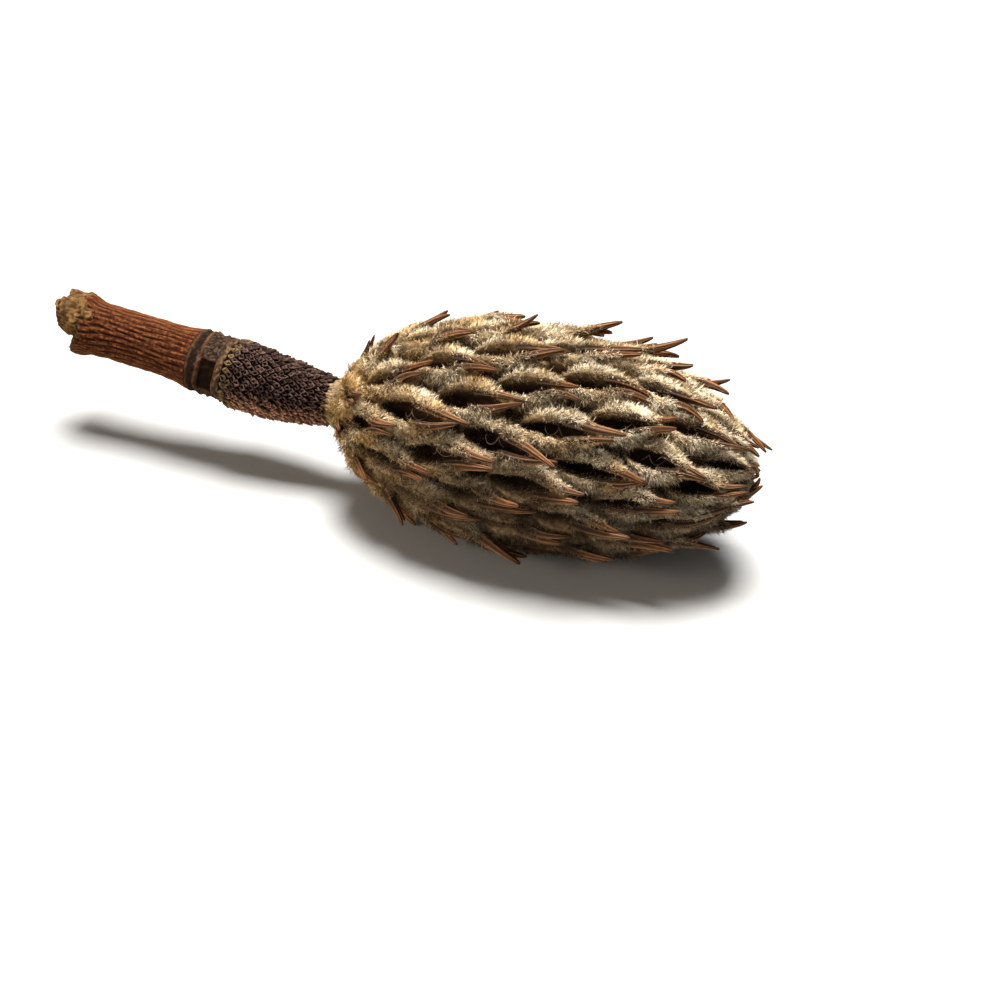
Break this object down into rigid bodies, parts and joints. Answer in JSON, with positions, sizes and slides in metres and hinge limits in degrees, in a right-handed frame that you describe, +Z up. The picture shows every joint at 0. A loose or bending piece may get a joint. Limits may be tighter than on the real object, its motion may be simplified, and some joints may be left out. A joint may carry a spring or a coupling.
{
  "type": "magnolia seed pod",
  "caption": "Dried magnolia seed pod lying on its side, a woolly cone of open beaked follicles on a scaly scarred neck and a snapped orange-brown stalk",
  "frame": {"origin": "On the surface that the pod lies on, under the middle of its box", "axes": "+X along the pod from the snapped end of the stalk to the tip of the cone, +Z up, +Y across"},
  "size_m": [0.1628, 0.0504, 0.0468],
  "materials": {
    "wool": "matte",
    "scales": "matte",
    "grey_bark": "matte",
    "orange_bark": "matte"
  },
  "bodies": {
    "root": {"seed_cone": "wool", "scar_zone": "scales", "scar_ring": "grey_bark", "peduncle": "orange_bark"}
  },
  "joints": []
}
